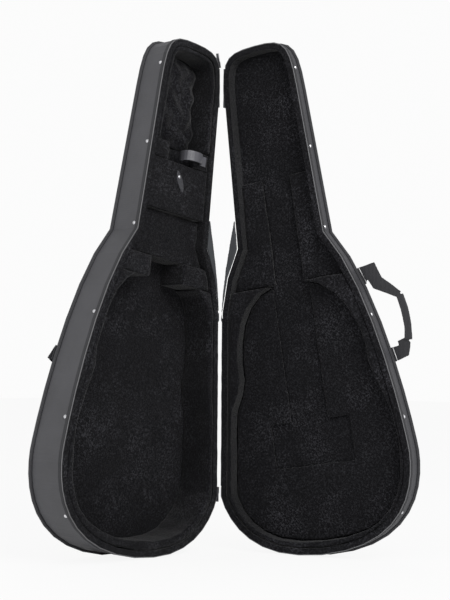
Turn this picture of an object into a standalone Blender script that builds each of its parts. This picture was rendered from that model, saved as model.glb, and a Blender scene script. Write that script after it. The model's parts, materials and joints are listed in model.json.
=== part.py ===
"""A light foam case for a full-size classical guitar, standing open on its rounded lower end.

The case is two foam trays, a deep base and a shallow lid, joined by a fabric hinge. Their rims meet
when it is closed. Both trays share one outline. It is drawn in guitar coordinates: a runs across the
case from its centre line, positive away from the hinge, and s runs up the centre line from the lower
end. The hinge line is the upright Z axis, so the centre line leans towards it at the top. In a tray,
u is the distance from the hinge line, z the height, and t the depth from the rim to the back.
"""
import math

import bpy
import bmesh
from mathutils import Matrix, Vector

# The outline, shared by both trays.
CASE_LENGTH = 1.068
BOUT_HALF_WIDTH = 0.220
BOUT_HEIGHT = 0.186
LOWER_END_REACH = 0.190
BOUT_REACH_DOWN = 0.068
BOUT_REACH_UP = 0.022
SHOULDER_HALF_WIDTH = 0.1010
SHOULDER_HEIGHT = 0.650
FLARE_ANGLE = math.radians(35.0)
FLARE_REACH = 0.164
HEAD_HALF_WIDTH = 0.0864
HEAD_HEIGHT = 0.960
HEAD_CORNER_REACH = 0.098
HEAD_TOP_REACH = 0.070
LEAN = math.radians(8.68)
AXIS_FOOT = 0.2361
HINGE_SETBACK = 0.0030
STANDING_FLAT = 0.0005

# How far the lid stands open, and how deep each tray is at its lower and its head end.
OPEN_ANGLE = math.radians(105.7)
BASE_DEPTH = 0.1043
BASE_DEPTH_AT_HEAD = 0.0710
LID_DEPTH = 0.0492
LID_DEPTH_AT_HEAD = 0.0381

# Layers of the trays, from the outside in.
GAP = 0.0003
RIM_GAP = 0.0005
TAPE_THICKNESS = 0.0009
COVER_THICKNESS = 0.0010
FOAM_WALL = 0.0090
BOARD_THICKNESS = 0.0070
PLUSH = 0.0025
WELT_RADIUS = 0.0040
WELT_PROUD = 0.0038
WELT_CLEARANCE = 0.0004
TEETH_RADIUS = 0.0011
TAPE_WIDTH = 0.0075

# The hinge fabric's two stretches, by height, and its face's distance from the hinge line.
LOWER_HINGE_LOW = 0.131
LOWER_HINGE_HIGH = 0.485
TOP_HINGE_LOW = 0.934
TOP_HINGE_HIGH = 1.018
HINGE_LEAF_DEPTH = 0.024
HINGE_FACE = 0.0010
FLAP_TOP = 0.690
FLAP_BULGE = 0.010
FLAP_THICKNESS = 0.0014

# The shaped pads that make the body-shaped hollow, as half widths and heights of its outline.
BASE_HOLLOW_BOTTOM = 0.034
BASE_HOLLOW_WIDE = (0.191, 0.222)
BASE_HOLLOW_WAIST = (0.163, 0.364)
BASE_HINGE_SIDE_WAIST = (0.148, 0.364)
BASE_HOLLOW_MOUTH = (0.084, 0.561)
BASE_HOLLOW_SHOULDER_REACH = 0.050
LID_HOLLOW_BOTTOM = 0.028
LID_HOLLOW_WIDE = (0.198, 0.215)
LID_HOLLOW_WAIST = (0.157, 0.375)
LID_HINGE_SIDE_WAIST = (0.136, 0.375)
LID_HOLLOW_MOUTH = (0.034, 0.560)
LID_HOLLOW_SHOULDER_REACH = 0.085
PAD_LEVEL = 0.0010
LEAST_PAD = 0.0090
TRIM = 0.0040

# Blocks of the base that carry the neck, by height along the centre line and by level below the rim.
HEEL_TOP = 0.606
HEEL_GAP_HALF = 0.045
HEEL_LEVEL = 0.0060
NECK_REST_LEVEL = 0.0200
BOX_BOTTOM = 0.703
BOX_TOP = 0.808
BOX_WALL = 0.0060
FLAP_LEVEL = 0.0050
FLAP_BOARD = 0.0060
FLAP_CLEARANCE = 0.0010
CRADLE_TOP = 0.846
CRADLE_LEVEL = 0.0050
CRADLE_NOTCH_HALF = 0.036
CRADLE_NOTCH_LEVEL = 0.0420
HEAD_PAD_WIDTH = 0.0110
HEAD_CUSHION_THICKNESS = 0.0200
HEAD_CUSHION_CROWN = 0.0080

# The lid's lower pads: two beside the strings, and one over the body with room for the bridge.
NECK_PAD_TOP = 0.786
NECK_PAD_LEVEL = 0.0190
STRING_GAP_HALF = 0.032
BODY_PAD_THICKNESS = 0.0080
STRING_CHANNEL_HALF = 0.041
BRIDGE_HALF = 0.089
BRIDGE_LOW = 0.183
BRIDGE_HIGH = 0.272

# Rivets, by height along the centre line, all at one depth below the rim.
RIVET_HEIGHTS = (0.067, 0.255, 0.467, 0.661, 0.833, 1.003)
RIVET_RADIUS = 0.0040
RIVET_RISE = 0.0018
RIVET_FACE = 0.55
RIVET_DEPTH = 0.0155

# The neck strap, the pull tab and the zip sliders.
STRAP_WIDTH = 0.022
STRAP_THICKNESS = 0.0016
STRAP_FOOT = -0.052
STRAP_FOOT_LENGTH = 0.018
STRAP_MIDDLE = 0.828
STRAP_REACH = 0.046
STRAP_RISE = 0.0125
STRAP_DROP = 0.022
TAB_LENGTH = 0.042
TAB_HALF_WIDTH = 0.0085
TAB_TIP = 0.750
TAB_THICKNESS = 0.0012
TAB_RIVET_PLACE = 0.70
TAB_RIVET_RADIUS = 0.0036
SLIDER_LENGTH = 0.013
SLIDER_THICKNESS = 0.0028
PULLER_LENGTH = 0.026
PULLER_THICKNESS = 0.0012
PULLER_WIDTH = 0.0060

# The carrying handles: webbing sewn to each tray's outer face, with a folded grip between two legs.
HANDLE_TOP = 0.549
HANDLE_BOTTOM = 0.381
UPPER_WEBBING_HALF = 0.0190
LOWER_WEBBING_HALF = 0.0150
WEBBING_THICKNESS = 0.0020
GRIP_HALF = 0.0075
GRIP_THICKNESS = 0.0070
HANDLE_REACH = 0.104
LID_HANDLE_FEET = (0.0060, 0.0060)
BASE_HANDLE_FEET = (-0.0140, 0.0050)
HANDLE_STUB = 0.0200
HANDLE_LIFT = 0.0045
PATCH_LENGTH = 0.042
HANDLE_FOLD = math.radians(174.0)

# How finely the curves are stepped.
LOWER_END_STEPS = 10
FLANK_STEPS = 8
NECK_STEPS = 2
HEAD_CORNER_STEPS = 7
CIRCLE_STEPS = 10


class Tray:
    """One half of the case: which way it faces from the rim plane, and how deep it is."""

    def __init__(self, name, facing, depth, depth_at_head):
        self.name = name
        self.facing = facing
        self.depth = depth
        self.slope = (depth - depth_at_head) / CASE_LENGTH

    def back(self, z):
        return self.depth - self.slope * z

    def board_front(self, z):
        return self.back(z) - COVER_THICKNESS - GAP - BOARD_THICKNESS

    def wall_end(self, z):
        return self.back(z) - max(2 * WELT_RADIUS, COVER_THICKNESS + GAP + BOARD_THICKNESS) - GAP

    def floor(self, z):
        """The plush floor's face."""
        return self.board_front(z) - GAP - PLUSH

    def on_floor(self, z):
        return self.floor(z) - GAP

    def place(self, u, z, t):
        return Vector((-u, self.facing * t, z))


BASE = Tray("base", 1.0, BASE_DEPTH, BASE_DEPTH_AT_HEAD)
LID = Tray("lid", -1.0, LID_DEPTH, LID_DEPTH_AT_HEAD)

# Insets from the outline to each layer's outer and inner face.
COVER_OUT = TAPE_THICKNESS + GAP
COVER_IN = COVER_OUT + COVER_THICKNESS
FOAM_OUT = COVER_IN + GAP
FOAM_IN = FOAM_OUT + FOAM_WALL
LINING_OUT = FOAM_IN + GAP
LINING_IN = LINING_OUT + PLUSH
LAYER_FRONT = RIM_GAP + PLUSH + GAP


def level(t):
    return lambda z: t


def below(height, step):
    return lambda z: height(z) - step


# Outlines are lists of points, computed from the sizes above.

def bezier(p0, p1, p2, p3, steps):
    """Points of a cubic curve, without its last one."""
    points = []
    for i in range(steps):
        k = i / steps
        weights = ((1 - k) ** 3, 3 * (1 - k) ** 2 * k, 3 * (1 - k) * k * k, k ** 3)
        x = sum(w * p[0] for w, p in zip(weights, (p0, p1, p2, p3)))
        y = sum(w * p[1] for w, p in zip(weights, (p0, p1, p2, p3)))
        points.append((x, y))
    return points


def half_profile():
    """The case's outer half, from the lower end to the head end."""
    low = (0.0, 0.0)
    wide = (BOUT_HALF_WIDTH, BOUT_HEIGHT)
    shoulder = (SHOULDER_HALF_WIDTH, SHOULDER_HEIGHT)
    head = (HEAD_HALF_WIDTH, HEAD_HEIGHT)
    top = (0.0, CASE_LENGTH)
    flare = (shoulder[0] + FLARE_REACH * math.sin(FLARE_ANGLE), shoulder[1] - FLARE_REACH * math.cos(FLARE_ANGLE))
    neck = math.dist(shoulder, head)
    along = ((head[0] - shoulder[0]) / neck, (head[1] - shoulder[1]) / neck)
    corner = (head[0] + HEAD_CORNER_REACH * along[0], head[1] + HEAD_CORNER_REACH * along[1])
    points = bezier(low, (LOWER_END_REACH, 0.0), (wide[0], wide[1] - BOUT_REACH_DOWN), wide, LOWER_END_STEPS)
    points += bezier(wide, (wide[0], wide[1] + BOUT_REACH_UP), flare, shoulder, FLANK_STEPS)
    for i in range(NECK_STEPS):
        k = i / NECK_STEPS
        points.append((shoulder[0] + k * (head[0] - shoulder[0]), shoulder[1] + k * (head[1] - shoulder[1])))
    points += bezier(head, corner, (HEAD_TOP_REACH, top[1]), top, HEAD_CORNER_STEPS)
    return points + [top]


def mirrored(half):
    """A closed outline from a half that starts and ends on the centre line."""
    return half + [(-a, s) for a, s in reversed(half[1:-1])]


def offset(loop, inset):
    """The outline moved inwards by inset, corner by corner. The loop runs anticlockwise."""
    moved = []
    count = len(loop)
    for i in range(count):
        before = Vector(loop[i]) - Vector(loop[i - 1])
        after = Vector(loop[(i + 1) % count]) - Vector(loop[i])
        in_1 = Vector((-before.y, before.x)).normalized()
        in_2 = Vector((-after.y, after.x)).normalized()
        step = (in_1 + in_2) / (1.0 + in_1.dot(in_2))
        point = Vector(loop[i]) + step * inset
        moved.append((point.x, point.y))
    return moved


def lean(a, s):
    """Guitar coordinates to the distance from the hinge line and the height above the floor."""
    u = AXIS_FOOT + math.cos(LEAN) * a - math.sin(LEAN) * s
    z = math.sin(LEAN) * a + math.cos(LEAN) * s - LOWEST
    return u, z


PROFILE = mirrored(half_profile())
LOWEST = min(math.sin(LEAN) * a + math.cos(LEAN) * s for a, s in PROFILE) + STANDING_FLAT
OUTLINE = [(max(u, HINGE_SETBACK), max(z, 0.0)) for u, z in (lean(a, s) for a, s in PROFILE)]
LINED = offset(PROFILE, LINING_IN)
HEAD_INDEX = len(half_profile()) - 1


def width_at(s, loop=LINED):
    """Half the loop's width at a height above its widest place."""
    half = loop[LOWER_END_STEPS:HEAD_INDEX]
    for (a0, s0), (a1, s1) in zip(half, half[1:]):
        if s0 <= s <= s1:
            return a0 + (a1 - a0) * (s - s0) / (s1 - s0)
    return half[-1][0]


def outline_point(s):
    """The outline's point on the side away from the hinge, and its outward direction."""
    half = PROFILE[:HEAD_INDEX + 1]
    for (a0, s0), (a1, s1) in zip(half, half[1:]):
        if s0 <= s <= s1 and s1 > s0:
            k = (s - s0) / (s1 - s0)
            point = Vector(lean(a0 + (a1 - a0) * k, s))
            along = Vector(lean(a1, s1)) - Vector(lean(a0, s0))
            return point, Vector((along.y, -along.x)).normalized()
    raise ValueError("height outside the case")


def at_height(loop, z, hinge_side=True):
    """The loop's point at a height on its hinge side."""
    side = loop[HEAD_INDEX:] + loop[:1] if hinge_side else loop[:HEAD_INDEX + 1]
    for (u0, z0), (u1, z1) in zip(side, side[1:]):
        if min(z0, z1) <= z <= max(z0, z1) and z0 != z1:
            k = (z - z0) / (z1 - z0)
            return (u0 + k * (u1 - u0), z)
    raise ValueError("height outside the case")


def hinge_stretch(loop, low, high):
    """The loop's hinge side between two heights, from high to low."""
    side = [p for p in loop[HEAD_INDEX:] + loop[:1] if low + GAP < p[1] < high - GAP]
    return [at_height(loop, high)] + side + [at_height(loop, low)]


def zip_stretch(loop, low, high):
    """The rest of the loop: from low on the hinge side, round the lower end, and up over the head to high."""
    under = [p for p in loop[HEAD_INDEX:] if p[1] < low - GAP]
    over = [p for p in loop[HEAD_INDEX:] if p[1] > high + GAP]
    return [at_height(loop, low)] + under + loop[:HEAD_INDEX] + over + [at_height(loop, high)]


# Blender objects are made from those outlines.

def clear_scene():
    for item in list(bpy.data.objects):
        bpy.data.objects.remove(item, do_unlink=True)


def finish_of(name, colour, roughness, metallic=0.0):
    material = bpy.data.materials.new(name)
    material.use_nodes = True
    shader = material.node_tree.nodes["Principled BSDF"]
    shader.inputs["Base Color"].default_value = (*colour, 1.0)
    shader.inputs["Roughness"].default_value = roughness
    shader.inputs["Metallic"].default_value = metallic
    return material


def show(mesh, name, material, parent, origin=None):
    """Adds the mesh as an object under parent, with its origin moved to a point."""
    cleaned(mesh)
    if origin is not None:
        mesh.transform(Matrix.Translation(-origin))
    mesh.shade_smooth()
    mesh.set_sharp_from_angle(angle=math.radians(30.0))
    mesh.materials.clear()
    mesh.materials.append(material)
    item = bpy.data.objects.new(name, mesh)
    PARTS.objects.link(item)
    item.parent = parent
    if origin is not None:
        item.location = origin - parent.location if parent.name.endswith("axis") else origin
    return item


def mesh_of(curve):
    """The curve's solid as a mesh."""
    item = bpy.data.objects.new(curve.name, curve)
    bpy.context.scene.collection.objects.link(item)
    bpy.context.view_layer.update()
    mesh = bpy.data.meshes.new_from_object(item.evaluated_get(bpy.context.evaluated_depsgraph_get()))
    bpy.data.objects.remove(item, do_unlink=True)
    bpy.data.curves.remove(curve)
    return mesh


def combined(first, second, operation="UNION"):
    """One mesh from two that overlap."""
    items = [bpy.data.objects.new("piece", mesh) for mesh in (first, second)]
    for item in items:
        bpy.context.scene.collection.objects.link(item)
    union = items[0].modifiers.new("union", "BOOLEAN")
    union.operation = operation
    union.solver = "EXACT"
    union.object = items[1]
    bpy.context.view_layer.update()
    mesh = bpy.data.meshes.new_from_object(items[0].evaluated_get(bpy.context.evaluated_depsgraph_get()))
    for item in items:
        bpy.data.objects.remove(item, do_unlink=True)
    return mesh


def cleaned(mesh):
    """The mesh closed up, with its faces outwards."""
    work = bmesh.new()
    work.from_mesh(mesh)
    bmesh.ops.remove_doubles(work, verts=work.verts, dist=1e-6)
    bmesh.ops.dissolve_degenerate(work, edges=work.edges, dist=1e-6)
    bmesh.ops.recalc_face_normals(work, faces=work.faces)
    work.to_mesh(mesh)
    work.free()
    return mesh


def flat_curve(name, loops):
    curve = bpy.data.curves.new(name, "CURVE")
    curve.dimensions = "2D"
    curve.fill_mode = "BOTH"
    curve.extrude = 0.5
    for loop in loops:
        spline = curve.splines.new("POLY")
        spline.points.add(len(loop) - 1)
        for point, (x, y) in zip(spline.points, loop):
            point.co = (x, y, 0.0, 1.0)
        spline.use_cyclic_u = True
    return mesh_of(curve)


def slab_mesh(tray, name, loops, front, back):
    """A flat outline given thickness between two depths, which may change with the height."""
    mesh = flat_curve(name, loops)
    for vertex in mesh.vertices:
        u, z, side = vertex.co
        vertex.co = tray.place(u, z, front(z) if side > 0 else back(z))
    return cleaned(mesh)


def slab(tray, name, loops, front, back, material, parent, origin=None):
    return show(slab_mesh(tray, name, loops, front, back), name, material, parent, origin)


def pad(tray, name, loops, front, back, material, parent):
    """A soft block inside the tray, trimmed to fit its lining."""
    show(trimmed(tray, slab_mesh(tray, name, loops, front, back)), name, material, parent)


def trimmed(tray, mesh, clearance=GAP):
    """The mesh's part that lies inside the tray's lining, clear of it."""
    room = slab_mesh(tray, "room", [offset(OUTLINE, LINING_IN + clearance)], level(-tray.depth), level(2 * tray.depth))
    return combined(mesh, room, "INTERSECT")


def tube(tray, name, path, depth, radius, closed, material, parent):
    """A round bead along a path in the tray, at a depth that may change with the height."""
    curve = bpy.data.curves.new(name, "CURVE")
    curve.dimensions = "3D"
    curve.bevel_depth = radius
    curve.bevel_resolution = 2
    curve.use_fill_caps = True
    spline = curve.splines.new("POLY")
    spline.points.add(len(path) - 1)
    for point, (u, z) in zip(spline.points, path):
        point.co = (*tray.place(u, z, depth(z)), 1.0)
    spline.use_cyclic_u = closed
    return show(mesh_of(curve), name, material, parent)


def ring(tray, name, outer, inner, front, back, material, parent):
    """A band all round the tray between two insets."""
    loops = [offset(OUTLINE, outer), offset(OUTLINE, inner)]
    return slab(tray, name, loops, front, back, material, parent)


def leaned(points):
    return [lean(a, s) for a, s in points]


# What both trays have.

def hollow_half(bottom, wide, waist, mouth, shoulder_reach):
    """Half of the body-shaped hollow's outline, from the centre line at the lower end to its mouth."""
    reach = 0.62 * (wide[1] - bottom)
    rise = 0.45 * (waist[1] - wide[1])
    points = bezier((0.0, bottom), (0.82 * wide[0], bottom), (wide[0], wide[1] - reach), wide, 8)
    points += bezier(wide, (wide[0], wide[1] + rise), (waist[0], waist[1] - 0.5 * rise), waist, 4)
    upper = 0.38 * (mouth[1] - waist[1])
    points += bezier(waist, (waist[0] + 0.004, waist[1] + upper), (mouth[0] + shoulder_reach, mouth[1] - 0.012), mouth, 6)
    return points + [mouth]


def kept_off_hinge(points):
    """Points in u and z, kept far enough from the hinge-side lining to leave foam there."""
    least = HINGE_SETBACK + LINING_IN + LEAST_PAD
    return [(max(u, least), z) for u, z in points]


def contour_pad(tray, name, hollow, hinge_hollow, material, parent):
    """The pad round the body-shaped hollow, between it and the lining, open at the neck."""
    mouth = hollow[-1][1]
    lining = [p for p in offset(PROFILE, LINING_IN - TRIM) if p[1] < mouth - TRIM]
    lower = [p for p in lining if p[0] >= 0.0]
    other = [p for p in lining if p[0] < 0.0]
    wide = width_at(mouth) + TRIM
    outer = leaned(lower + [(wide, mouth)])
    outer_hinge = leaned([(-wide, mouth)] + other)
    inner = kept_off_hinge(leaned([(-a, s) for a, s in reversed(hinge_hollow)] + hollow[1:]))
    loop = outer + list(reversed(inner)) + outer_hinge
    floor = below(tray.floor, GAP)
    pad(tray, name, [loop], level(PAD_LEVEL), floor, material, parent)


def side_points(sign, low, high, steps=4):
    """Points up the lining's inner face between two heights, on one side."""
    heights = [low + (high - low) * i / steps for i in range(steps + 1)]
    if low < SHOULDER_HEIGHT < high:
        heights = sorted(heights + [SHOULDER_HEIGHT])
    return [(sign * (width_at(s) + TRIM), s) for s in heights]


def across(low, high, trim=0.0):
    """A block's outline from one side lining to the other."""
    right = side_points(1.0, low, high)
    left = side_points(-1.0, low, high)
    return leaned([(a - trim, s) for a, s in right] + [(a + trim, s) for a, s in reversed(left)])


def beside(sign, inner, low, high):
    """A block's outline from one side lining to a distance from the centre line."""
    side = side_points(sign, low, high)
    return leaned(side + [(sign * inner, high), (sign * inner, low)])


def tray_shell(tray, finishes, parent):
    """Foam walls, board, outer fabric, welt and plush lining of one tray."""
    name = tray.name
    front = level(LAYER_FRONT)
    ring(tray, name + "_foam_wall", FOAM_OUT, FOAM_IN, front, tray.wall_end, finishes["foam"], parent)
    ring(tray, name + "_side_cover", COVER_OUT, COVER_IN, front, tray.wall_end, finishes["cover"], parent)
    board_back = below(tray.back, COVER_THICKNESS + GAP)
    centre = offset(OUTLINE, WELT_RADIUS - WELT_PROUD)
    welt_path = [(max(u, HINGE_FACE + WELT_RADIUS), max(z, WELT_RADIUS)) for u, z in centre]
    board = [offset(welt_path, WELT_RADIUS + WELT_CLEARANCE)]
    slab(tray, name + "_board", board, tray.board_front, board_back, finishes["foam"], parent)
    cover_front = below(tray.back, COVER_THICKNESS)
    panel = "back" if tray is BASE else "front"
    slab(tray, name + "_" + panel + "_cover", board, cover_front, tray.back, finishes["cover"], parent)
    middle = below(tray.back, WELT_RADIUS)
    tube(tray, name + "_welt", welt_path, middle, WELT_RADIUS, True, finishes["welt"], parent)
    wall_back = below(tray.board_front, GAP)
    rim_loops = [offset(OUTLINE, FOAM_OUT), offset(OUTLINE, LINING_IN)]
    wall_loops = [offset(OUTLINE, LINING_OUT), offset(OUTLINE, LINING_IN)]
    rim = slab_mesh(tray, "rim", rim_loops, level(RIM_GAP), level(RIM_GAP + PLUSH))
    wall = slab_mesh(tray, "wall", wall_loops, level(RIM_GAP + PLUSH / 2.0), wall_back)
    show(combined(rim, wall), name + "_side_lining", finishes["plush"], parent)
    floor = [offset(OUTLINE, LINING_IN + GAP)]
    slab(tray, name + "_floor_lining", floor, tray.floor, wall_back, finishes["plush"], parent)


def strip(outer, inner):
    """A band's outline between two open paths that run the same way."""
    return outer + list(reversed(inner))


def zip_half(tray, finishes, parent):
    """The zip's tape and coil, round the rim from one end of the hinge to the other."""
    name = tray.name
    low = LOWER_HINGE_LOW - GAP
    high = TOP_HINGE_HIGH + GAP
    outer = zip_stretch(OUTLINE, low, high)
    inner = zip_stretch(offset(OUTLINE, TAPE_THICKNESS), low, high)
    tape_back = level(LAYER_FRONT + TAPE_WIDTH)
    slab(tray, name + "_zip_tape", [strip(outer, inner)], level(LAYER_FRONT), tape_back, finishes["tape"], parent)
    path = zip_stretch(offset(OUTLINE, TEETH_RADIUS + GAP), low - TEETH_RADIUS, high + TEETH_RADIUS)
    middle = level(RIM_GAP + TEETH_RADIUS + GAP)
    tube(tray, name + "_zip_teeth", path, middle, TEETH_RADIUS, False, finishes["teeth"], parent)


def hinge_half(tray, finishes, parent):
    """The hinge fabric on one tray: a leaf down the wall at each stretch, and the flap above the lower one."""
    name = tray.name
    inner_loop = offset(OUTLINE, COVER_OUT - GAP)
    back = level(RIM_GAP + HINGE_LEAF_DEPTH)
    def leaf(low, high):
        inner = hinge_stretch(inner_loop, low, high)
        outer = [(HINGE_FACE, high), (HINGE_FACE, low)]
        return slab_mesh(tray, "leaf", [strip(outer, inner)], level(LAYER_FRONT), back)

    show(leaf(TOP_HINGE_LOW, TOP_HINGE_HIGH), name + "_top_hinge", finishes["hinge"], parent)
    overlap = HINGE_LEAF_DEPTH / 4.0
    inner = hinge_stretch(offset(OUTLINE, -GAP), LOWER_HINGE_HIGH - overlap, FLAP_TOP)
    start = Vector(inner[0])
    end = Vector((HINGE_FACE, LOWER_HINGE_HIGH))
    bend = (start + end) / 2.0 - Vector((FLAP_BULGE, 0.0))
    outer = [tuple(start + Vector((-FLAP_THICKNESS, 0.0)))]
    for k in (0.25, 0.5, 0.75):
        point = (1 - k) ** 2 * start + 2 * k * (1 - k) * bend + k * k * end
        outer.append((max(point.x, HINGE_FACE), point.y))
    outer.append(tuple(end))
    outer.append((HINGE_FACE, LOWER_HINGE_HIGH - overlap))
    flap = slab_mesh(tray, "flap", [strip(outer, inner)], level(RIM_GAP), level(LAYER_FRONT + FLAP_THICKNESS))
    lower = leaf(LOWER_HINGE_LOW, LOWER_HINGE_HIGH)
    show(combined(lower, flap), name + "_lower_hinge", finishes["hinge"], parent)


def stud_mesh(middle, direction, radius, face_share, rise):
    """A rivet's head: a low cone with a flat face."""
    turn = direction.to_track_quat("Z", "Y").to_matrix().to_4x4()
    work = bmesh.new()
    bmesh.ops.create_cone(
        work, cap_ends=True, segments=CIRCLE_STEPS, radius1=radius, radius2=face_share * radius,
        depth=rise, matrix=Matrix.Translation(middle) @ turn)
    mesh = bpy.data.meshes.new("stud")
    work.to_mesh(mesh)
    work.free()
    return mesh


def rivet_row(tray, finishes, parent):
    """The rivets through the side wall."""
    for number, s in enumerate(RIVET_HEIGHTS, 1):
        point, outward = outline_point(s)
        middle = point + outward * (GAP - COVER_OUT + RIVET_RISE / 2.0)
        place = tray.place(middle.x, middle.y, RIVET_DEPTH)
        mesh = stud_mesh(place, tray.place(outward.x, outward.y, 0.0), RIVET_RADIUS, RIVET_FACE, RIVET_RISE)
        show(mesh, f"{tray.name}_rivet_{number}", finishes["nickel"], parent)


# What only the base holds.

def base_blocks(finishes, parent):
    """The foam blocks that carry the guitar's neck and make the accessory box."""
    plush = finishes["plush"]
    mouth = BASE_HOLLOW_MOUTH[1] + GAP
    for sign, name in ((1.0, "outer"), (-1.0, "hinge_side")):
        heel = beside(sign, HEEL_GAP_HALF, mouth, HEEL_TOP)
        pad(BASE, "heel_block_" + name, [heel], level(HEEL_LEVEL), BASE.on_floor, plush, parent)
    rest = across(HEEL_TOP + GAP, BOX_BOTTOM - GAP)
    pad(BASE, "neck_rest", [rest], level(NECK_REST_LEVEL), BASE.on_floor, plush, parent)
    outer = across(BOX_BOTTOM, BOX_TOP)
    inner = across(BOX_BOTTOM + BOX_WALL, BOX_TOP - BOX_WALL, trim=BOX_WALL + TRIM)
    box_front = level(FLAP_LEVEL + FLAP_BOARD + GAP)
    pad(BASE, "accessory_box", [outer, inner], box_front, BASE.on_floor, plush, parent)


def notched_bar(tray, name, front, low, high, material, parent):
    """A block across the tray whose front is a line of points across it and down from the rim."""
    wide = width_at(low) + TRIM
    deep = tray.on_floor(lean(wide, high)[1])
    section = [(-wide, deep), (-wide, front[0][1])] + front + [(wide, front[-1][1]), (wide, deep)]
    mesh = flat_curve(name, [section])
    for vertex in mesh.vertices:
        a, t, end = vertex.co
        u, z = lean(a, high if end > 0 else low)
        vertex.co = tray.place(u, z, t)
    return show(trimmed(tray, cleaned(mesh)), name, material, parent)


def cradle(finishes, parent):
    """The bridge that holds the neck, with a round notch across its front."""
    notch = []
    for i in range(CIRCLE_STEPS + 1):
        turn = math.pi * i / CIRCLE_STEPS
        dip = (CRADLE_NOTCH_LEVEL - CRADLE_LEVEL) * math.sin(turn)
        notch.append((-CRADLE_NOTCH_HALF * math.cos(turn), CRADLE_LEVEL + dip))
    notched_bar(BASE, "neck_cradle", notch, BOX_TOP + GAP, CRADLE_TOP, finishes["plush"], parent)


def head_pads(finishes, parent):
    """The collar round the head's hollow and the loose cushion on its floor."""
    start = CRADLE_TOP + GAP
    outer = [p for p in offset(PROFILE, LINING_IN - TRIM) if p[1] > start + 0.002]
    inner = [p for p in offset(PROFILE, LINING_IN + GAP + HEAD_PAD_WIDTH) if p[1] > start + 0.002]
    wide = width_at(start) + TRIM
    outer = [(wide, start)] + outer + [(-wide, start)]
    narrow = width_at(start) - HEAD_PAD_WIDTH
    inner = [(narrow, start)] + inner + [(-narrow, start)]
    loop = leaned(strip(outer, inner))
    pad(BASE, "head_collar", [loop], level(PAD_LEVEL), BASE.on_floor, finishes["plush"], parent)
    edge = offset(leaned(inner), GAP)
    cushion_front = below(BASE.floor, HEAD_CUSHION_THICKNESS)
    mesh = bpy.data.meshes.new("head_cushion")
    work = bmesh.new()
    middle = sum((Vector(p) for p in edge), Vector((0.0, 0.0))) / len(edge)
    rows = ((0.0, 0.0), (0.55, 0.0), (0.93, 0.45), (1.0, 1.0))
    rings = []
    for share, sink in rows[1:]:
        row = []
        for u, z in edge:
            place = middle + (Vector((u, z)) - middle) * share
            t = cushion_front(place.y) - HEAD_CUSHION_CROWN * (1.0 - share ** 2) + sink * 0.35 * HEAD_CUSHION_THICKNESS
            row.append(work.verts.new(BASE.place(place.x, place.y, t)))
        rings.append(row)
    rings.append([work.verts.new(BASE.place(u, z, BASE.on_floor(z))) for u, z in edge])
    top = work.verts.new(BASE.place(middle.x, middle.y, cushion_front(middle.y) - HEAD_CUSHION_CROWN))
    count = len(edge)
    for i in range(count):
        j = (i + 1) % count
        work.faces.new((top, rings[0][i], rings[0][j]))
        for lower, upper in zip(rings, rings[1:]):
            work.faces.new((lower[i], upper[i], upper[j], lower[j]))
    work.faces.new(rings[-1])
    work.to_mesh(mesh)
    work.free()
    show(mesh, "head_cushion", finishes["plush"], parent)


def box_flap(finishes, parent):
    """The accessory box's lid, its pull tab and the tab's rivet. It turns on its lower front edge."""
    foot = lean(0.0, BOX_BOTTOM)
    origin = BASE.place(foot[0], foot[1], FLAP_LEVEL)
    axis = bpy.data.objects.new("accessory_flap_axis", None)
    PARTS.objects.link(axis)
    axis.parent = parent
    axis.location = origin
    outline = across(BOX_BOTTOM + GAP, BOX_TOP - GAP)
    back = level(FLAP_LEVEL + FLAP_BOARD)
    shape = trimmed(BASE, slab_mesh(BASE, "accessory_flap", [outline], level(FLAP_LEVEL), back), FLAP_CLEARANCE)
    show_on(shape, "accessory_flap", finishes["plush"], axis)
    top = TAB_TIP + TAB_LENGTH
    tab_back = FLAP_LEVEL - GAP
    tab_front = tab_back - TAB_THICKNESS
    leaf = [leaf_half_width(s) for s in tab_heights(TAB_TIP, top)]
    hinge = lean(leaf_centre(top), top)
    point = BASE.place(hinge[0], hinge[1], tab_back)
    shape = slab_mesh(BASE, "pull_tab", [leaf_outline(leaf)], level(tab_front), level(tab_back))
    tab = show_on(shape, "pull_tab", finishes["leather"], axis)
    tab.data.transform(Matrix.Translation(origin - point))
    tab.location = point - origin
    rivet_s = TAB_TIP + TAB_LENGTH * TAB_RIVET_PLACE
    seat = lean(leaf_centre(rivet_s), rivet_s)
    middle = BASE.place(seat[0], seat[1], tab_front - GAP - TAB_THICKNESS / 2.0) - point
    stud = stud_mesh(middle, Vector((0.0, -1.0, 0.0)), TAB_RIVET_RADIUS, RIVET_FACE, TAB_THICKNESS)
    show(stud, "pull_tab_rivet", finishes["nickel"], tab)
    report("accessory flap hinge", origin, direction_across())
    report("pull tab hinge", point, direction_across())


def direction_across():
    """The way across the case, square to its centre line, towards the hinge."""
    return Vector((math.cos(LEAN), 0.0, -math.sin(LEAN)))


def show_on(mesh, name, material, axis):
    """Adds a mesh, drawn in the tray's own coordinates, under an empty that stands on a joint."""
    item = show(mesh, name, material, axis)
    item.data.transform(Matrix.Translation(-axis.location))
    return item


def leaf_centre(s):
    """The tab leans a little from the hinge side at its top."""
    return -0.012 + 0.45 * (s - TAB_TIP)


def leaf_half_width(s):
    """The tab's outline at a height: a leaf, pointed below and round above."""
    k = (s - TAB_TIP) / TAB_LENGTH
    half = TAB_HALF_WIDTH * math.sin(math.pi * min(max(k, 0.03), 0.97)) ** 0.6
    return leaf_centre(s), half, s


def tab_heights(low, high, steps=5):
    return [low + (high - low) * i / steps for i in range(steps + 1)]


def leaf_outline(rows):
    right = [(centre + half, s) for centre, half, s in rows]
    left = [(centre - half, s) for centre, half, s in reversed(rows)]
    return leaned(right + left)


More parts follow.
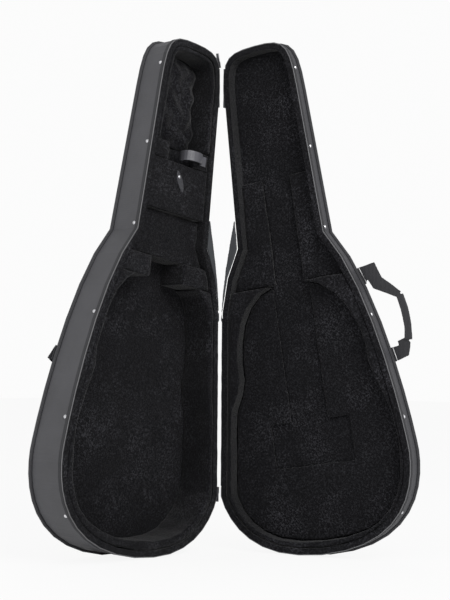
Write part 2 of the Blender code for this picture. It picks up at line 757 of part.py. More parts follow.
def ribbon(path, thickness):
    """A strip's outline along a path of points, seen on edge."""
    sides = ([], [])
    for i, point in enumerate(path):
        before = Vector(path[max(i - 1, 0)])
        after = Vector(path[min(i + 1, len(path) - 1)])
        along = (after - before).normalized()
        square = Vector((-along.y, along.x)) * thickness / 2.0
        sides[0].append(tuple(Vector(point) + square))
        sides[1].append(tuple(Vector(point) - square))
    return sides[0] + list(reversed(sides[1]))


def strap_route():
    """The strap's way across and out of the rim plane: up from its foot, over, and down into the notch."""
    level_0 = CRADLE_LEVEL - GAP - STRAP_THICKNESS / 2.0
    points = []
    for i in range(9):
        turn = math.pi * i / 8
        across_it = STRAP_FOOT + STRAP_REACH * (1.0 - math.cos(turn)) / 2.0
        rise = (level_0 + STRAP_RISE) * math.sin(turn) ** 0.8
        points.append((across_it, level_0 - rise))
    tip = (STRAP_FOOT + 0.97 * STRAP_REACH, level_0 + STRAP_DROP / 2.0)
    points.append(tip)
    points.append((STRAP_FOOT + 0.86 * STRAP_REACH, level_0 + STRAP_DROP))
    return points


def neck_strap(finishes, parent):
    """The ribbon over the guitar's neck: its sewn foot on the cradle, and the loop that swings from it."""
    low = STRAP_MIDDLE - STRAP_WIDTH / 2.0
    high = STRAP_MIDDLE + STRAP_WIDTH / 2.0
    back = CRADLE_LEVEL - GAP
    foot = leaned([(STRAP_FOOT - GAP, low), (STRAP_FOOT - GAP, high),
                   (STRAP_FOOT - STRAP_FOOT_LENGTH, high), (STRAP_FOOT - STRAP_FOOT_LENGTH, low)])
    slab(BASE, "neck_strap_foot", [foot], level(back - STRAP_THICKNESS), level(back), finishes["ribbon"], parent)
    mesh = flat_curve("neck_strap", [ribbon(strap_route(), STRAP_THICKNESS)])
    for vertex in mesh.vertices:
        a, t, end = vertex.co
        u, z = lean(max(a, STRAP_FOOT), high if end > 0 else low)
        vertex.co = BASE.place(u, z, t)
    hinge = lean(STRAP_FOOT, STRAP_MIDDLE)
    origin = BASE.place(hinge[0], hinge[1], back - STRAP_THICKNESS)
    show(mesh, "neck_strap", finishes["ribbon"], parent, origin)
    report("neck strap hinge", origin, Vector((math.sin(LEAN), 0.0, math.cos(LEAN))))


# What only the lid holds.

def lid_pads(hollow, hinge_hollow, finishes, parent):
    """The pads beside the strings and the one over the guitar's body, cut out for strings and bridge."""
    plush = finishes["plush"]
    start = LID_HOLLOW_MOUTH[1] + GAP
    for sign, name in ((1.0, "outer"), (-1.0, "hinge_side")):
        side = beside(sign, STRING_GAP_HALF, start, NECK_PAD_TOP)
        pad(LID, "neck_pad_" + name, [side], level(NECK_PAD_LEVEL), LID.on_floor, plush, parent)
    around = kept_off_hinge(leaned(hollow + [(-a, s) for a, s in reversed(hinge_hollow[1:])]))
    front = below(LID.floor, BODY_PAD_THICKNESS)
    body = slab_mesh(LID, "body", [offset(around, GAP)], front, LID.on_floor)
    above = LID_HOLLOW_MOUTH[1] + TRIM
    slot = [(BRIDGE_HALF, BRIDGE_LOW), (BRIDGE_HALF, BRIDGE_HIGH), (STRING_CHANNEL_HALF, BRIDGE_HIGH),
            (STRING_CHANNEL_HALF, above)]
    slot += [(-a, s) for a, s in reversed(slot)]
    cut = slab_mesh(LID, "slot", [leaned(slot)], level(0.0), level(LID_DEPTH))
    show(combined(body, cut, "DIFFERENCE"), "body_pad", plush, parent)


# The zip sliders and the handles.

def zip_slider(place, path, finishes, parent):
    """A slider on the end of the base's zip, with its puller lying along the tape."""
    start = Vector(path[0])
    along = (Vector(path[1]) - start).normalized()
    square = Vector((along.y, -along.x))
    if place == "top":
        square = -square
    body = plate_mesh(start, along, square, GAP, SLIDER_THICKNESS, SLIDER_LENGTH, TAPE_WIDTH + LAYER_FRONT)
    root = start + along * SLIDER_LENGTH * 0.4
    puller = plate_mesh(root, along, square, GAP + SLIDER_THICKNESS - PULLER_THICKNESS, 2 * PULLER_THICKNESS,
                        PULLER_LENGTH, PULLER_WIDTH)
    show(combined(body, puller), place + "_zip_slider", finishes["nickel"], parent)


def plate_mesh(start, along, square, stand_off, thickness, length, width):
    """A plate beside the base's wall, along the zip and centred on its width."""
    ends = [start, start + along * length]
    far = [tuple(p + square * (stand_off + thickness)) for p in ends]
    near = [tuple(p + square * stand_off) for p in ends]
    middle = RIM_GAP + (LAYER_FRONT + TAPE_WIDTH) / 2.0
    return slab_mesh(BASE, "plate", [strip(far, near)], level(middle - width / 2.0), level(middle + width / 2.0))


def zip_sliders(finishes, parent):
    """One slider at each end of the open zip, where the hinge fabric starts."""
    clear = 0.0005
    low = zip_stretch(offset(OUTLINE, -clear), LOWER_HINGE_LOW - clear, TOP_HINGE_HIGH + clear)
    zip_slider("lower", low[:2], finishes, parent)
    zip_slider("top", [low[-1], low[-2]], finishes, parent)


def widened(path, half_widths):
    """A strap's outline on the flat, from its middle line and its half width at each point."""
    sides = ([], [])
    for i, (point, half) in enumerate(zip(path, half_widths)):
        before = path[max(i - 1, 0)]
        after = path[min(i + 1, len(path) - 1)]
        along = (after - before).normalized()
        square = Vector((-along.y, along.x)) * half
        sides[0].append(tuple(point + square))
        sides[1].append(tuple(point - square))
    return sides[0] + list(reversed(sides[1]))


def handle_lines(feet):
    """Middle lines of the handle's two legs and its grip, and their feet, so far outside the outline."""
    top, top_out = outline_point(HANDLE_TOP)
    low, low_out = outline_point(HANDLE_BOTTOM)
    top_foot = top + top_out * feet[0]
    low_foot = low + low_out * feet[1]
    reach = HANDLE_REACH
    knee = top + Vector((0.82 * reach, -0.36 * reach))
    elbow = Vector((top.x + reach, low.y + 0.30 * reach))
    upper = [top_foot, top_foot + top_out * HANDLE_STUB, top + Vector((0.36 * reach, -0.12 * reach)), knee]
    span = elbow - knee
    grip = [knee, knee + Vector((0.55 * span.x, 0.30 * span.y)), knee + Vector((0.95 * span.x, 0.68 * span.y)), elbow]
    lower = [elbow, low + (elbow - low) * 0.72, low_foot + low_out * HANDLE_STUB, low_foot]
    return top_foot, low_foot, upper, grip, lower


def handle(tray, fold, finishes, parent):
    """The webbing handle of one tray. Its patches are sewn to the outer face, and the loop swings at its feet."""
    name = tray.name
    feet = BASE_HANDLE_FEET if tray is BASE else LID_HANDLE_FEET
    top_foot, low_foot, upper, grip, lower = handle_lines(feet)
    lift = HANDLE_LIFT
    top_point = tray.place(top_foot.x, top_foot.y, tray.back(top_foot.y) + lift)
    low_point = tray.place(low_foot.x, low_foot.y, tray.back(low_foot.y) + lift)
    axis_line = (top_point - low_point).normalized()
    origin = (top_point + low_point) / 2.0
    for place, s, foot in (("upper", HANDLE_TOP, feet[0]), ("lower", HANDLE_BOTTOM, feet[1])):
        point, outward = outline_point(s)
        path = [point + outward * (foot - PATCH_LENGTH), point + outward * (foot - GAP)]
        patch = widened(path, [UPPER_WEBBING_HALF if place == "upper" else LOWER_WEBBING_HALF] * 2)
        front = below(tray.back, -GAP)
        back = below(tray.back, -GAP - WEBBING_THICKNESS)
        slab(tray, name + "_handle_" + place + "_patch", [patch], front, back, finishes["webbing"], parent)
    axis = bpy.data.objects.new(name + "_handle_axis", None)
    PARTS.objects.link(axis)
    axis.parent = parent
    axis.location = origin
    turn = Matrix.Rotation(-fold * tray.facing, 4, axis_line)
    swing = Matrix.Translation(origin) @ turn @ Matrix.Translation(-origin)
    middle = GAP + WEBBING_THICKNESS / 2.0
    narrow = GRIP_HALF
    legs = (
        (upper, [UPPER_WEBBING_HALF, UPPER_WEBBING_HALF, 0.8 * UPPER_WEBBING_HALF, narrow]),
        (lower, [narrow, LOWER_WEBBING_HALF, LOWER_WEBBING_HALF, LOWER_WEBBING_HALF]),
    )
    loop = handle_part(tray, grip, [narrow] * len(grip), GRIP_THICKNESS, middle)
    for path, half_widths in legs:
        loop = combined(loop, handle_part(tray, path, half_widths, WEBBING_THICKNESS, middle))
    loop.transform(swing)
    show_on(loop, name + "_handle", finishes["webbing"], axis)
    report(name + " handle hinge", origin, axis_line)


def handle_part(tray, path, half_widths, thickness, middle):
    """A stretch of webbing at a distance behind the tray's back."""
    front = below(tray.back, thickness / 2.0 - middle)
    back = below(tray.back, -thickness / 2.0 - middle)
    return slab_mesh(tray, "webbing", [widened(path, half_widths)], front, back)


REPORTED = []


def report(label, point, direction):
    """Keeps a joint's place, in its tray's own coordinates, to print at the end."""
    REPORTED.append((label, point, direction))


def centre_case(case):
    """Moves the whole case so that its origin is at the middle of its base."""
    bpy.context.view_layer.update()
    low = Vector((1e9, 1e9, 1e9))
    high = -low
    graph = bpy.context.evaluated_depsgraph_get()
    for item in PARTS.objects:
        if item.type != "MESH":
            continue
        shape = item.evaluated_get(graph)
        for vertex in shape.data.vertices:
            place = shape.matrix_world @ vertex.co
            low = Vector(map(min, low, place))
            high = Vector(map(max, high, place))
    middle = (low + high) / 2.0
    case.location = (-middle.x, -middle.y, -low.z)
    bpy.context.view_layer.update()
    print("size", [round(v, 4) for v in high - low], "hinge foot", [round(v, 5) for v in case.location])


def main():
    clear_scene()
    bpy.context.scene.collection.children.link(PARTS)
    finishes = {
        "cover": finish_of("outer_fabric", (0.060, 0.060, 0.066), 0.62),
        "welt": finish_of("welt_fabric", (0.035, 0.035, 0.040), 0.70),
        "plush": finish_of("plush_lining", (0.008, 0.008, 0.010), 0.95),
        "foam": finish_of("foam", (0.10, 0.10, 0.11), 0.90),
        "tape": finish_of("zip_tape", (0.030, 0.030, 0.034), 0.75),
        "teeth": finish_of("zip_teeth", (0.20, 0.20, 0.21), 0.45),
        "hinge": finish_of("hinge_fabric", (0.16, 0.17, 0.18), 0.70),
        "webbing": finish_of("webbing", (0.045, 0.045, 0.050), 0.80),
        "ribbon": finish_of("satin_ribbon", (0.10, 0.10, 0.11), 0.40),
        "leather": finish_of("tab_leather", (0.05, 0.05, 0.055), 0.45),
        "nickel": finish_of("nickel", (0.62, 0.62, 0.64), 0.25, 1.0),
    }
    case = bpy.data.objects.new("case", None)
    lid_axis = bpy.data.objects.new("lid_axis", None)
    for empty in (case, lid_axis):
        PARTS.objects.link(empty)
    lid_axis.parent = case
    lid_axis.rotation_euler.z = OPEN_ANGLE
    base_hollows = [hollow_half(BASE_HOLLOW_BOTTOM, BASE_HOLLOW_WIDE, waist, BASE_HOLLOW_MOUTH,
                                BASE_HOLLOW_SHOULDER_REACH) for waist in (BASE_HOLLOW_WAIST, BASE_HINGE_SIDE_WAIST)]
    lid_hollows = [hollow_half(LID_HOLLOW_BOTTOM, LID_HOLLOW_WIDE, waist, LID_HOLLOW_MOUTH,
                               LID_HOLLOW_SHOULDER_REACH) for waist in (LID_HOLLOW_WAIST, LID_HINGE_SIDE_WAIST)]
    for tray, parent, hollows, fold in ((BASE, case, base_hollows, HANDLE_FOLD), (LID, lid_axis, lid_hollows, 0.0)):
        tray_shell(tray, finishes, parent)
        zip_half(tray, finishes, parent)
        hinge_half(tray, finishes, parent)
        rivet_row(tray, finishes, parent)
        contour_pad(tray, tray.name + "_contour_pad", *hollows, finishes["plush"], parent)
        handle(tray, fold, finishes, parent)
    base_blocks(finishes, case)
    cradle(finishes, case)
    head_pads(finishes, case)
    box_flap(finishes, case)
    neck_strap(finishes, case)
    lid_pads(*lid_hollows, finishes, lid_axis)
    zip_sliders(finishes, case)
    centre_case(case)
    for label, point, direction in REPORTED:
        frame = lid_axis.matrix_world if label.startswith("lid") else case.matrix_world
        place = frame @ point
        way = (frame.to_3x3() @ direction).normalized()
        print(label, [round(v, 5) for v in place], "axis", [round(v, 5) for v in way])


PARTS = bpy.data.collections.new("classical_guitar_case")
main()
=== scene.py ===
# %% [markdown]
# A soft-sided guitar case, photographed open
#
# The case is two foam trays, covered with cloth outside and lined with plush, that stand open on one
# upright cloth hinge. It could be modelled afresh here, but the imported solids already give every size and
# place. So this script dresses them: each soft piece is made again with the round edges of cloth or foam,
# and every surface gets its finish.

# %% Load the frame
import json
import math

import bpy
from mathutils import Matrix, Vector, noise


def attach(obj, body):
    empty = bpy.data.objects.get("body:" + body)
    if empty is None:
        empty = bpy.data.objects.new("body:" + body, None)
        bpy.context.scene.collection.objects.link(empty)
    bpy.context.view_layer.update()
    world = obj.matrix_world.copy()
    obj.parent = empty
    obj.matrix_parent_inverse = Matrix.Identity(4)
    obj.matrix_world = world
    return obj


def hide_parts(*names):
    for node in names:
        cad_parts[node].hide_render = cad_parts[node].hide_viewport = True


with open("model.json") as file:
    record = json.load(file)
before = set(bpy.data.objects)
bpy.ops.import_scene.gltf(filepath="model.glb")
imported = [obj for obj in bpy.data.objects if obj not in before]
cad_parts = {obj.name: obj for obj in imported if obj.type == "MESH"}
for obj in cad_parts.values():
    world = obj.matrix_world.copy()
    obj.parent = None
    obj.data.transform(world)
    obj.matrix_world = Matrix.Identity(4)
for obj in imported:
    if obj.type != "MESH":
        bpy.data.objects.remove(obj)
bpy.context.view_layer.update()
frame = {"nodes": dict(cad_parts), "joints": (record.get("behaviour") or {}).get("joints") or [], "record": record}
nodes = frame["nodes"]

# %% [markdown]
# What the record says of each solid
#
# Every solid belongs to one body, such as a tray or a handle, and is made of one material. Both could be
# written out again by hand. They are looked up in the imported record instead, so that no piece ends up on
# the wrong tray.

# %% Look up bodies and materials
body_of = {}
for body_name, members in frame["record"]["behaviour"]["bodies"].items():
    for member in members:
        body_of[member] = body_name
slot_of = {part["node"]: part["material_slot"] for part in frame["record"]["subparts"]}

# %% [markdown]
# Where the case stands
#
# Both trays turn about one upright line, the hinge. The camera and the lights could be placed from the
# middle of the floor, but the photograph looks straight at the hinge. So they are placed from the hinge's
# foot.

# %% The hinge's foot
hinge = next(joint for joint in frame["joints"] if joint["name"] == "lid_hinge")
foot = Vector((hinge["pos_m"][0], hinge["pos_m"][1], 0.0))
print("hinge foot", [round(v, 4) for v in foot])

# %% [markdown]
# A plain finish
#
# Cloth, plush, metal and paper all start as one shader with one colour and one roughness. Each graph
# could be wired by hand, but all of them need the same few steps. So one function makes the plain finish
# and another adds a node, whose keywords set the sockets and properties that they name. Points come from
# the case's own coordinates in metres, so the grain has its real size and turns with the lid.

# %% Helpers for a graph of nodes
def new_finish(name, base, roughness):
    material = bpy.data.materials.new(name)
    material.use_nodes = True
    tree = material.node_tree
    shader = tree.nodes["Principled BSDF"]
    shader.inputs["Roughness"].default_value = roughness
    shader.inputs["Base Color"].default_value = (*base, 1.0)
    return material, tree, shader


def add(tree, kind, **values):
    node = tree.nodes.new(kind)
    for key, value in values.items():
        if key in node.inputs:
            node.inputs[key].default_value = value
        else:
            setattr(node, key, value)
    return node


def place(tree):
    return tree.nodes.new("ShaderNodeTexCoord").outputs["Object"]


# %% [markdown]
# Shade and bump
#
# No cloth is one even colour: dye and handling leave soft patches that are a little darker or paler. They
# could be painted on, but noise needs no picture. Threads and tufts are too fine to model, so a bump
# turns the light as they would and leaves the mesh as it is.

# %% Helpers for shade and bump
SHADE_SPAN = (0.3, 0.7)


def clouds(tree, scale, detail, roughness):
    node = add(tree, "ShaderNodeTexNoise", Scale=scale, Detail=detail, Roughness=roughness)
    tree.links.new(place(tree), node.inputs["Vector"])
    return node.outputs["Fac"]


def shade(tree, shader, base, spread, scale):
    """Soft patches, darker and paler than the base colour by up to the spread."""
    ramp = add(tree, "ShaderNodeValToRGB")
    for element, position, share in zip(ramp.color_ramp.elements, SHADE_SPAN, (-spread, spread)):
        element.position = position
        element.color = (*[part * (1 + share) for part in base], 1)
    tree.links.new(clouds(tree, scale, detail=4.0, roughness=0.6), ramp.inputs["Fac"])
    tree.links.new(ramp.outputs["Color"], shader.inputs["Base Color"])


def bump(tree, shader, height, strength, distance):
    node = add(tree, "ShaderNodeBump", Strength=strength, Distance=distance)
    tree.links.new(height, node.inputs["Height"])
    tree.links.new(node.outputs["Normal"], shader.inputs["Normal"])


# %% [markdown]
# Woven cloth
#
# The covers, tapes and webbing are woven, and up close their threads pass over each other. A picture of
# cloth would need the mesh unfolded flat first. Two waves that cross, one along X and one along Z, need
# only the thread's spacing. Their weak point is a face that is turned along one of the two, where only
# one set shows.

# %% Helper for a woven finish
WAVES_PER_METRE = 3.1  # about how many the wave texture has at a scale of 1
THREAD_WANDER = 0.6
THREAD_HEIGHT = 0.0004
CLOTH_SPREAD = 0.12
CLOTH_CLOUDS = 14.0


def weave(name, base, roughness, thread, strength):
    """A cloth with two sets of threads, whose spacing is given in metres."""
    material, tree, shader = new_finish(name, base, roughness)
    shade(tree, shader, base, CLOTH_SPREAD, CLOTH_CLOUDS)
    both = add(tree, "ShaderNodeMath", operation="MULTIPLY")
    scale = 1.0 / thread / WAVES_PER_METRE
    for socket, direction in zip(both.inputs, ("X", "Z")):
        wave = add(tree, "ShaderNodeTexWave", Scale=scale, Distortion=THREAD_WANDER)
        wave.bands_direction = direction
        tree.links.new(place(tree), wave.inputs["Vector"])
        tree.links.new(wave.outputs["Fac"], socket)
    bump(tree, shader, both.outputs[0], strength, THREAD_HEIGHT)
    return material


# %% [markdown]
# The woven finishes
#
# The outer cloth is a fine weave and reads as a dark grey. The hinge cloth is coarser and duller, the
# webbing has the widest ribs, and the ribbon is smooth and shiny. One finish for them all would be
# simpler, but then the case would look moulded and not sewn.

# %% Make the woven finishes
OUTER = weave("outer_cloth", (0.043, 0.043, 0.048), roughness=0.55, thread=0.0009, strength=0.45)
WELT = weave("welt_cloth", (0.018, 0.018, 0.021), roughness=0.62, thread=0.0009, strength=0.5)
HINGE = weave("hinge_cloth", (0.040, 0.043, 0.048), roughness=0.75, thread=0.0012, strength=0.6)
TAPE = weave("zip_tape_cloth", (0.022, 0.022, 0.025), roughness=0.8, thread=0.0007, strength=0.6)
TEETH = weave("zip_coil", (0.11, 0.11, 0.115), roughness=0.45, thread=0.0016, strength=1.0)
WEBBING = weave("ribbed_webbing", (0.020, 0.020, 0.023), roughness=0.8, thread=0.0025, strength=1.0)
RIBBON = weave("satin", (0.085, 0.085, 0.095), roughness=0.32, thread=0.0005, strength=0.2)
print("woven finishes", [finish.name for finish in (OUTER, WELT, HINGE, TAPE, TEETH, WEBBING, RIBBON)])

# %% [markdown]
# Plush
#
# The lining is short plush: black where it lies flat, paler at its tufts, and palest where a hand has
# brushed it up and its pile catches the light, and that pale is painted sheen. Hair strands could show that, but
# they don't export as a mesh. So wide noise places the patches of painted sheen, fine noise says where the tufts
# are, and their product says how pale a point is.

# %% Helpers that turn noise into a colour
def between(tree, value, span):
    """The value, stretched so that the two ends of the span become 0 and 1."""
    node = add(tree, "ShaderNodeMapRange")
    node.inputs["From Min"].default_value = span[0]
    node.inputs["From Max"].default_value = span[1]
    tree.links.new(value, node.inputs["Value"])
    return node.outputs["Result"]


def blended(tree, amount, dark, pale):
    """The dark colour where the amount is 0, and the pale one where it is 1."""
    node = add(tree, "ShaderNodeMix", data_type="RGBA")
    tree.links.new(amount, node.inputs["Factor"])
    colours = [socket for socket in node.inputs if socket.type == "RGBA"]
    colours[0].default_value = (*dark, 1.0)
    colours[1].default_value = (*pale, 1.0)
    return next(socket for socket in node.outputs if socket.type == "RGBA")


# %% [markdown]
# The plush's graph
#
# A tuft outside the patches of painted sheen still shows a little, or the flat plush would be one black
# shape. So the painted sheen only adds to a share that every tuft has. The pull tab and the foam are given
# a nap and painted sheen in the same way, in other colours.

# %% Make the plush finishes
SHEEN_PATCH_SPAN = (0.46, 0.72)
TUFT_SPAN = (0.48, 0.66)
SHEEN_PATCH_SHARE = 0.75
TUFT_HEIGHT = 0.0016
PLUSH_LIGHT = {"Sheen Weight": 0.10, "Sheen Roughness": 0.4, "Specular IOR Level": 0.15}


def pile(name, base, sheen_pale):
    material, tree, shader = new_finish(name, base, roughness=0.95)
    tufts = clouds(tree, scale=260.0, detail=5.0, roughness=0.8)
    lift = add(tree, "ShaderNodeMath", operation="MULTIPLY_ADD")
    lift.inputs[1].default_value = SHEEN_PATCH_SHARE
    lift.inputs[2].default_value = 1.0 - SHEEN_PATCH_SHARE
    # Wide noise places painted sheen: paler colour where the brushed-up pile would catch the light.
    sheen_patches = clouds(tree, scale=9.0, detail=6.0, roughness=0.7)
    tree.links.new(between(tree, sheen_patches, SHEEN_PATCH_SPAN), lift.inputs[0])
    amount = add(tree, "ShaderNodeMath", operation="MULTIPLY")
    tree.links.new(lift.outputs[0], amount.inputs[0])
    tree.links.new(between(tree, tufts, TUFT_SPAN), amount.inputs[1])
    tree.links.new(blended(tree, amount.outputs[0], base, sheen_pale), shader.inputs["Base Color"])
    for socket, value in PLUSH_LIGHT.items():
        shader.inputs[socket].default_value = value
    bump(tree, shader, tufts, strength=1.0, distance=TUFT_HEIGHT)
    return material


# The second colour of each is painted sheen, the paleness of brushed-up pile that catches the light.
PLUSH = pile("plush", (0.0022, 0.0022, 0.0030), sheen_pale=(0.065, 0.065, 0.074))
FOAM = pile("foam_cloth", (0.02, 0.02, 0.022), sheen_pale=(0.05, 0.05, 0.055))
LEATHER = pile("tab_leather", (0.045, 0.045, 0.05), sheen_pale=(0.09, 0.09, 0.10))
print("plush finishes", [finish.name for finish in (PLUSH, FOAM, LEATHER)])

# %% [markdown]
# Plated metal
#
# The rivets and zip sliders are plated. They are so small that scratches wouldn't show, so a metal shader
# with a slightly clouded colour is enough.

# %% Make the metal finish
METAL_SPREAD = 0.08
METAL_CLOUDS = 300.0
PLATING = (0.62, 0.62, 0.64)
NICKEL, nickel_tree, nickel_shader = new_finish("plated", PLATING, roughness=0.28)
nickel_shader.inputs["Metallic"].default_value = 1.0
shade(nickel_tree, nickel_shader, PLATING, METAL_SPREAD, METAL_CLOUDS)
print("metal finish", NICKEL.name)

# %% [markdown]
# Dressing the solids
#
# The foam walls and boards, the welts, the zip coils, the sliders and the rivets could be rebuilt as
# well. They are out of sight, hard, or too small for softer edges to show, so they stay as packed and
# only get their finish. Every solid gets it here, and the copies that are made below carry it on.

# %% Dress the solids
finish_of_slot = {
    "outer_fabric": OUTER, "welt_fabric": WELT, "hinge_fabric": HINGE, "plush_lining": PLUSH,
    "foam": FOAM, "zip_tape": TAPE, "zip_teeth": TEETH, "webbing": WEBBING,
    "satin_ribbon": RIBBON, "tab_leather": LEATHER, "nickel": NICKEL,
}
for name, item in nodes.items():
    item.data.materials.clear()
    item.data.materials.append(finish_of_slot[slot_of[name]])
print("solids dressed", len(nodes), "with finishes", len(finish_of_slot))

# %% [markdown]
# A piece that stands for a solid
#
# A soft piece takes the place of one solid: it starts from the solid's shape, keeps its material and
# moves with its body. The solid itself could be changed, but it is needed as packed. So a copy is worked
# on and shown in its place.

# %% Helpers for a piece that stands for a solid
def copy_of(node, name):
    item = bpy.data.objects.new(name, nodes[node].data.copy())
    bpy.context.scene.collection.objects.link(item)
    return item


def settle(item):
    """Makes the modifiers' result the item's own mesh."""
    bpy.context.view_layer.update()
    graph = bpy.context.evaluated_depsgraph_get()
    final = bpy.data.meshes.new_from_object(item.evaluated_get(graph))
    item.modifiers.clear()
    item.data = final
    final.shade_smooth()
    return final


def stand_in(item, node):
    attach(item, body_of[node])
    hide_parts(node)


# %% [markdown]
# Softening
#
# Cloth and foam have no sharp edge. A subdivided solid would round its edges too, but by different
# amounts on long and short faces. So the solid is rebuilt from small cells of one size and its points are
# relaxed, which rounds every edge alike. Slow noise then moves the skin, as stuffing does. It leans
# inwards: the skin sinks by half the ripple on average, and swells by half of it at most.

# %% Helper that softens a solid
RELAX_STEP = 0.5
INWARD_LEAN = 0.5


def softened(node, ending, cell, relax, ripple, ripple_size):
    """Lengths are in metres, and relax says how many times the points move towards their neighbours."""
    item = copy_of(node, node + ending)
    remesh = item.modifiers.new("cells", "REMESH")
    remesh.mode = "VOXEL"
    remesh.voxel_size = cell
    smooth = item.modifiers.new("relax", "SMOOTH")
    smooth.factor = RELAX_STEP
    smooth.iterations = relax
    final = settle(item)
    final.materials.clear()
    final.materials.append(finish_of_slot[slot_of[node]])
    normals = [vertex.normal.copy() for vertex in final.vertices]
    for vertex, normal in zip(final.vertices, normals):
        height = noise.noise(vertex.co / ripple_size) - INWARD_LEAN
        vertex.co += normal * ripple * height
    stand_in(item, node)
    return item


# %% [markdown]
# Pads and blocks
#
# The pads and blocks that hold the guitar are foam under plush. They could be sculpted one by one, but
# they are all made the same way, so they are all softened the same way. They get the roundest edges in
# the case, and a slow ripple where the plush is pulled over the foam.

# %% Soften the pads
PAD_SKIN = {"cell": 0.003, "relax": 8, "ripple": 0.0016, "ripple_size": 0.05}
PADS = ("base_contour_pad", "lid_contour_pad", "heel_block_outer", "heel_block_hinge_side", "neck_rest",
        "neck_cradle", "head_collar", "accessory_box", "body_pad", "neck_pad_outer", "neck_pad_hinge_side")
for pad in PADS:
    piece = softened(pad, "_soft", **PAD_SKIN)
print("pads softened", len(PADS))

# %% [markdown]
# The accessory box's flap
#
# The box in the base is closed by a padded flap. It could be softened like the pads, but it is only six
# millimetres thick, which is two of their cells. So its cells are smaller, and it is relaxed half as
# often.

# %% Soften the flap
FLAP_SKIN = {"cell": 0.0018, "relax": 4, "ripple": 0.0006, "ripple_size": 0.04}
flap = softened("accessory_flap", "_soft", **FLAP_SKIN)
print("flap faces", len(flap.data.polygons))

# %% [markdown]
# The head cushion
#
# The cushion at the head is a loose bag of fill, and its cloth is dented all over. A cloth simulation
# would fold it truly, but it takes long to set up and to settle. Noise that is deeper and finer than on
# the pads gives it dents about two centimetres wide, which is enough at this distance.

# %% Soften the cushion
CUSHION_SKIN = {"cell": 0.003, "relax": 6, "ripple": 0.0075, "ripple_size": 0.024}
cushion = softened("head_cushion", "_soft", **CUSHION_SKIN)
print("cushion faces", len(cushion.data.polygons))

# %% [markdown]
# Handles, strap and hinge cloth
#
# These are webbing, ribbon and a strong cloth. Sheets without thickness would be simpler, but a real edge
# catches the light. So they keep their thickness. Their cells are finer than the pads', and they are
# relaxed only twice, so that they stay thin and flat. The neck strap's cells are finer still.

# %% Soften the webbing, the strap and the hinge cloth
WEB_SKIN = {"cell": 0.0012, "relax": 2, "ripple": 0.0006, "ripple_size": 0.02}
STRAP_SKIN = {**WEB_SKIN, "cell": 0.0009}
CLOTH_GROUPS = (
    (WEB_SKIN, ("base_handle", "lid_handle")),
    (STRAP_SKIN, ("neck_strap", "neck_strap_foot")),
    (WEB_SKIN, ("base_lower_hinge", "lid_lower_hinge", "base_top_hinge", "lid_top_hinge")),
)
for skin, names in CLOTH_GROUPS:
    for name in names:
        softened(name, "_cloth", **skin)
print("webbing, strap and hinge pieces", sum(len(names) for skin, names in CLOTH_GROUPS))

# %% [markdown]
# Sewn patches and pull tab
#
# Each handle ends in two patches that are sewn to the cover, and the flap has a leather tab. They are
# flat, so they could stay as they are, but then their edges would look cut from board. Cells of 0.6 mm
# round them just enough.

# %% Soften the patches and the tab
PATCH_SKIN = {"cell": 0.0006, "relax": 2, "ripple": 0.0002, "ripple_size": 0.02}
PATCHES = ("base_handle_upper_patch", "base_handle_lower_patch", "lid_handle_upper_patch",
           "lid_handle_lower_patch", "pull_tab")
for name in PATCHES:
    softened(name, "_cloth", **PATCH_SKIN)
print("patches and tab softened", len(PATCHES))

# %% [markdown]
# Linings and covers
#
# Each cover and lining is one cut of cloth glued to the foam, with its edge turned over. Softening would
# need far too many cells for a cloth this large, and it has only sharp rims to round. So its edges get a
# small bevel of two faces.

# %% Turn over the edges of glued cloth
TURNED_EDGE = 0.0003
BEVEL_FROM = math.radians(50.0)
SMOOTH_UP_TO = math.radians(40.0)
GLUED = ("base_side_cover", "lid_side_cover", "base_back_cover", "lid_front_cover", "base_floor_lining",
         "lid_floor_lining", "base_side_lining", "lid_side_lining", "base_zip_tape", "lid_zip_tape")


def glued(node):
    item = copy_of(node, node + "_cloth")
    bevel = item.modifiers.new("turned edge", "BEVEL")
    bevel.width = TURNED_EDGE
    bevel.segments = 2
    bevel.limit_method = "ANGLE"
    bevel.angle_limit = BEVEL_FROM
    settle(item).set_sharp_from_angle(angle=SMOOTH_UP_TO)
    stand_in(item, node)


for cloth in GLUED:
    glued(cloth)
print("glued cloths", len(GLUED))

# %% [markdown]
# The floor
#
# The photograph's ground is plain white. White paper alone would turn grey where the light is weak. So
# the camera sees mostly an even white, with a little of the real paper and its shadow, and light that
# bounces off the floor meets the paper alone.

# %% Make the floor
FLOOR_REACH = 9
FLOOR_LEVEL = -0.0005
GROUND_WHITE = 0.97
EVEN_SHARE = 0.93
SQUARE = ((-1, -1), (1, -1), (1, 1), (-1, 1))
corners = [(x * FLOOR_REACH, y * FLOOR_REACH, FLOOR_LEVEL) for x, y in SQUARE]
floor_mesh = bpy.data.meshes.new("studio_floor")
floor_mesh.from_pydata(corners, [], [(0, 1, 2, 3)])
floor = bpy.data.objects.new("studio_floor", floor_mesh)
bpy.context.scene.collection.objects.link(floor)
paper, paper_tree, paper_shader = new_finish("paper", (0.86, 0.86, 0.86), roughness=0.9)
floor_mesh.materials.append(paper)
print("floor corners", corners)

# %% [markdown]
# What the camera sees of the floor
#
# The paper's shader could glow for every ray, but then it would light the case from below. A light path
# tells the camera's rays from all others, and a mix hands the even white to those alone.

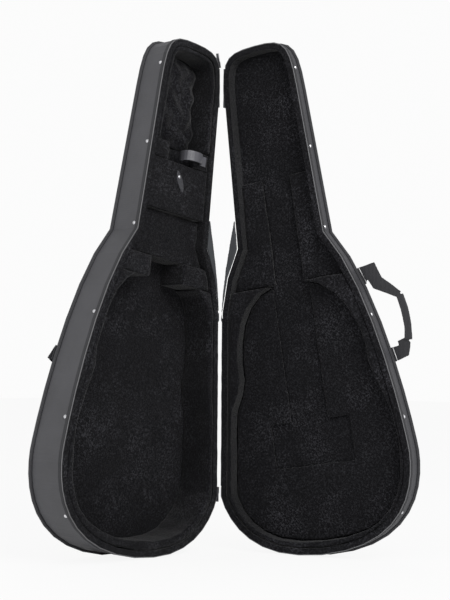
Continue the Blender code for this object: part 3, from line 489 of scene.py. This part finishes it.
# %% Give the camera an even ground
glow = add(paper_tree, "ShaderNodeEmission", Strength=GROUND_WHITE)
floor_path = add(paper_tree, "ShaderNodeLightPath")
either = add(paper_tree, "ShaderNodeMixShader")
share = add(paper_tree, "ShaderNodeMath", operation="MULTIPLY")
share.inputs[1].default_value = EVEN_SHARE
paper_tree.links.new(floor_path.outputs["Is Camera Ray"], share.inputs[0])
paper_tree.links.new(share.outputs[0], either.inputs["Fac"])
paper_tree.links.new(paper_shader.outputs[0], either.inputs[1])
paper_tree.links.new(glow.outputs[0], either.inputs[2])
paper_tree.links.new(either.outputs[0], paper_tree.nodes["Material Output"].inputs["Surface"])
print("share of even white", EVEN_SHARE)

# %% [markdown]
# The surround
#
# A white studio lights the case from all sides. Walls could be built, but a plain white world does the
# same. The camera sees it a little brighter than it shines, so that the ground is white and the case
# isn't washed out.

# %% Make the surround
SURROUND_LIGHT = 0.75
world = bpy.data.worlds.new("surround")
bpy.context.scene.world = world
world.use_nodes = True
tree = world.node_tree
backdrop = tree.nodes["Background"]
seen = add(tree, "ShaderNodeBackground")
for shell, strength in ((backdrop, SURROUND_LIGHT), (seen, GROUND_WHITE)):
    shell.inputs["Color"].default_value = (1.0, 1.0, 1.0, 1.0)
    shell.inputs["Strength"].default_value = strength
path = add(tree, "ShaderNodeLightPath")
mix = add(tree, "ShaderNodeMixShader")
tree.links.new(path.outputs["Is Camera Ray"], mix.inputs["Fac"])
tree.links.new(backdrop.outputs[0], mix.inputs[1])
tree.links.new(seen.outputs[0], mix.inputs[2])
tree.links.new(mix.outputs[0], tree.nodes["World Output"].inputs["Surface"])
print("surround light", SURROUND_LIGHT, "as the camera sees it", GROUND_WHITE)

# %% [markdown]
# The camera
#
# The camera could be moved about by eye. Its place was fitted instead, so that both trays' outlines fall
# where the photograph has them. It came out about three metres in front of the hinge and a little below
# the case's middle. Such a fit gives the focal length in pixels, so the lens is worked out from that.

# %% Place the camera
TURN = math.radians(46.06)
DISTANCE = 3.0005
SIDEWAYS = 0.0099
HEIGHT = 0.4030
LOOK_UP = math.radians(2.316)
ROLL = math.radians(0.38)
FOCAL_PIXELS = 1418.8
IMAGE_HEIGHT = 600
SENSOR_HEIGHT = 36.0
ahead = Vector((math.sin(TURN), math.cos(TURN), 0.0))
aside = Vector((math.cos(TURN), -math.sin(TURN), 0.0))
camera_place = foot + aside * SIDEWAYS - ahead * DISTANCE + Vector((0.0, 0.0, HEIGHT))
camera_data = bpy.data.cameras.new("view")
camera_data.sensor_fit = "VERTICAL"
camera_data.sensor_height = SENSOR_HEIGHT
camera_data.lens = FOCAL_PIXELS / IMAGE_HEIGHT * SENSOR_HEIGHT
camera = bpy.data.objects.new("view", camera_data)
bpy.context.scene.collection.objects.link(camera)
look = ahead * math.cos(LOOK_UP) + Vector((0.0, 0.0, math.sin(LOOK_UP)))
turned = look.to_track_quat("-Z", "Y").to_matrix().to_4x4()
camera.matrix_world = Matrix.Translation(camera_place) @ turned @ Matrix.Rotation(ROLL, 4, "Z")
bpy.context.scene.camera = camera
print("camera at", [round(v, 3) for v in camera_place], "lens", round(camera_data.lens, 1))

# %% [markdown]
# The lights
#
# A studio lights a case with wide, soft lamps. One lamp alone would favour one of the two trays, because
# they face different ways. So a stronger light stands in front, high on the right, and a weaker one lower
# on the left. Both are over a metre and a half wide, which keeps the shadows soft.

# %% Place the lights
LIGHT_AIM = 0.5
KEY = {"back": 2.2, "right": 1.2, "up": 1.6, "size": 1.6, "power": 55.0}
FILL = {"back": 1.6, "right": -2.4, "up": 0.8, "size": 1.8, "power": 22.0}
middle = foot + Vector((0.0, 0.0, LIGHT_AIM))


def soft_light(name, back, right, up, size, power):
    """A square light, placed from the hinge's middle as the camera sees it, and turned towards it."""
    data = bpy.data.lights.new(name, "AREA")
    data.shape = "SQUARE"
    data.size = size
    data.energy = power
    lamp = bpy.data.objects.new(name, data)
    bpy.context.scene.collection.objects.link(lamp)
    spot = middle - ahead * back + aside * right + Vector((0.0, 0.0, up))
    lamp.location = spot
    lamp.rotation_euler = (middle - spot).to_track_quat("-Z", "Y").to_euler()
    print(name, "light at", [round(v, 2) for v in spot])


soft_light("key", **KEY)
soft_light("fill", **FILL)
bpy.context.scene.view_settings.view_transform = "Standard"
